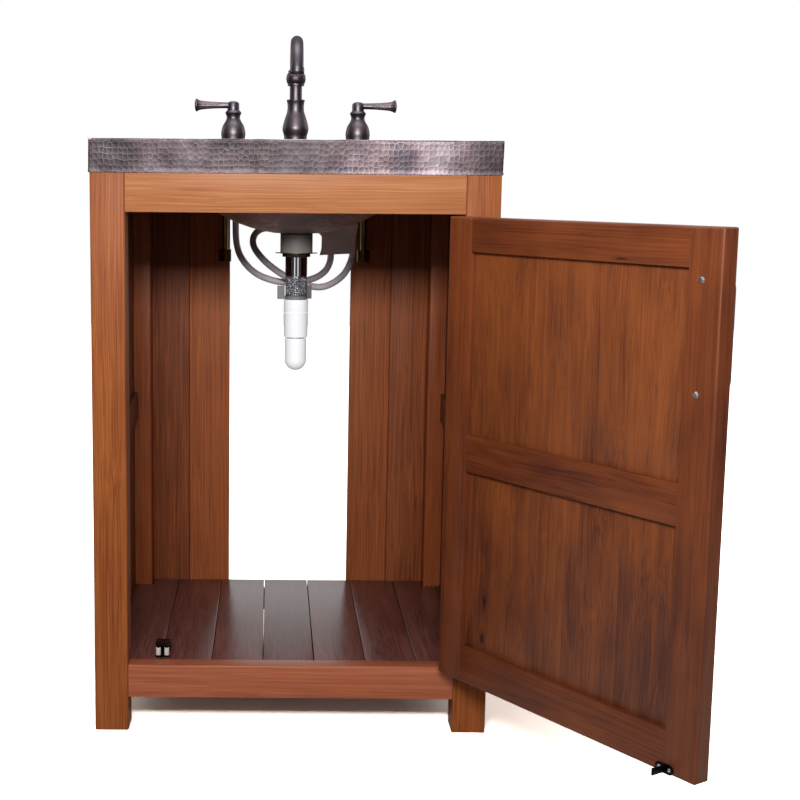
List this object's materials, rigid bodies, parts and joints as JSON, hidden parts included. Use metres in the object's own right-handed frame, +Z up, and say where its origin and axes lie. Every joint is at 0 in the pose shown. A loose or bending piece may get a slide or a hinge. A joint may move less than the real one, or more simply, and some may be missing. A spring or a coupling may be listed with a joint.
{
  "type": "vanity unit",
  "caption": "Free-standing pine vanity cabinet with one hinged door, a hammered copper top and oval bowl, a three-hole bronze tap, flexible hoses and a capped waste.",
  "frame": {"origin": "outer corner of the rear left foot on the floor, at the wall", "axes": "+X to the right along the wall, +Y into the wall, +Z up"},
  "size_m": [0.8409, 0.9506, 1.0987],
  "materials": {
    "pine_frame": "stained and lacquered pine, satin",
    "pine_boards": "stained pine boards, satin",
    "pine_door": "stained and lacquered pine, satin",
    "plywood": "raw plywood",
    "hammered_copper": "hammered copper with a dark patina",
    "dark_bronze": "oil-rubbed bronze, satin",
    "valve_brass": "turned brass",
    "chromed_brass": "polished chrome",
    "steel_fittings": "zinc plated steel",
    "white_plastic": "moulded, semi gloss",
    "nylon_rollers": "moulded nylon",
    "clear_plastic": "translucent, moulded",
    "grey_plastic": "moulded, matt",
    "black_plastic": "moulded, matt",
    "black_rubber": "moulded rubber",
    "blackened_steel": "black, semi gloss",
    "braided_hose": "braided stainless wire over a rubber hose",
    "paper": "uncoated paper"
  },
  "bodies": {
    "cabinet": {"leg_front_left": "pine_frame", "leg_front_right": "pine_frame", "leg_rear_left": "pine_frame", "leg_rear_right": "pine_frame", "front_top_rail": "pine_frame", "front_bottom_rail": "pine_frame", "side_rails_left": "pine_frame", "side_rails_right": "pine_frame", "side_panels_left": "pine_boards", "side_panels_right": "pine_boards", "rear_top_rail": "pine_frame", "rear_bottom_rail": "pine_frame", "back_boards_left": "pine_boards", "back_boards_right": "pine_boards", "floor_boards": "pine_boards", "floor_bearer": "pine_frame", "top_cleats": "pine_frame", "top_core": "plywood", "copper_top": "hammered_copper", "sink_bowl": "hammered_copper", "waste_body": "chromed_brass", "waste_gasket": "black_rubber", "waste_spacer": "white_plastic", "eared_washer": "chromed_brass", "waste_nut": "black_plastic", "tailpiece": "chromed_brass", "tail_clip": "grey_plastic", "slip_sleeve": "clear_plastic", "tail_collar": "white_plastic", "tail_cap": "white_plastic", "spout_base": "dark_bronze", "handle_bases": "dark_bronze", "valve_bodies": "valve_brass", "deck_nuts": "valve_brass", "spout_tee": "valve_brass", "hose_left": "braided_hose", "hose_right": "braided_hose", "hose_ferrules": "steel_fittings", "hose_tag": "paper", "hinge_leaves_frame": "valve_brass", "hinge_pins": "valve_brass", "catch_housing": "blackened_steel"},
    "door": {"door_hinge_stile": "pine_door", "door_free_stile": "pine_door", "door_top_rail": "pine_door", "door_mid_rail": "pine_door", "door_bottom_rail": "pine_door", "door_panels": "pine_door", "pull_handle": "dark_bronze", "pull_screws": "steel_fittings", "hinge_leaves_door": "valve_brass", "door_strike": "blackened_steel"},
    "spout": {"spout": "dark_bronze"},
    "handle_left": {"handle_left": "dark_bronze"},
    "handle_right": {"handle_right": "dark_bronze"},
    "waste_stopper": {"waste_stopper": "chromed_brass"},
    "catch_arm_left": {"catch_arm_left": "blackened_steel"},
    "catch_arm_right": {"catch_arm_right": "blackened_steel"},
    "catch_roller_left": {"catch_roller_left": "nylon_rollers"},
    "catch_roller_right": {"catch_roller_right": "nylon_rollers"}
  },
  "joints": [
    {"name": "door_hinge", "type": "hinge", "parent": "cabinet", "child": "door", "pos_m": [0.5568, -0.513, 0.4555], "axis": [0, 0, 1], "range_deg": [-123, 57]},
    {"name": "spout_swivel", "type": "hinge", "parent": "cabinet", "child": "spout", "pos_m": [0.311, -0.058, 0.994], "axis": [0, 0, 1], "range_deg": [-60, 60]},
    {"name": "handle_left_turn", "type": "hinge", "parent": "cabinet", "child": "handle_left", "pos_m": [0.2005, -0.058, 0.98], "axis": [0, 0, 1], "range_deg": [0, 90]},
    {"name": "handle_right_turn", "type": "hinge", "parent": "cabinet", "child": "handle_right", "pos_m": [0.4215, -0.058, 0.98], "axis": [0, 0, 1], "range_deg": [-90, 0]},
    {"name": "stopper_press", "type": "slide", "parent": "cabinet", "child": "waste_stopper", "axis": [0, 0, 1], "range_m": [-0.008, 0]},
    {"name": "catch_arm_left_swing", "type": "hinge", "parent": "cabinet", "child": "catch_arm_left", "pos_m": [0.0957, -0.442, 0.115], "axis": [0, 0, 1], "range_deg": [-4, 0], "stiffness_Nm_per_rad": 0.4},
    {"name": "catch_arm_right_swing", "type": "hinge", "parent": "cabinet", "child": "catch_arm_right", "pos_m": [0.1091, -0.442, 0.115], "axis": [0, 0, 1], "range_deg": [0, 4], "stiffness_Nm_per_rad": 0.4},
    {"name": "catch_roller_left_spin", "type": "hinge", "parent": "catch_arm_left", "child": "catch_roller_left", "pos_m": [0.0957, -0.466, 0.115], "axis": [0, 0, 1], "continuous": true},
    {"name": "catch_roller_right_spin", "type": "hinge", "parent": "catch_arm_right", "child": "catch_roller_right", "pos_m": [0.1091, -0.466, 0.115], "axis": [0, 0, 1], "continuous": true}
  ]
}
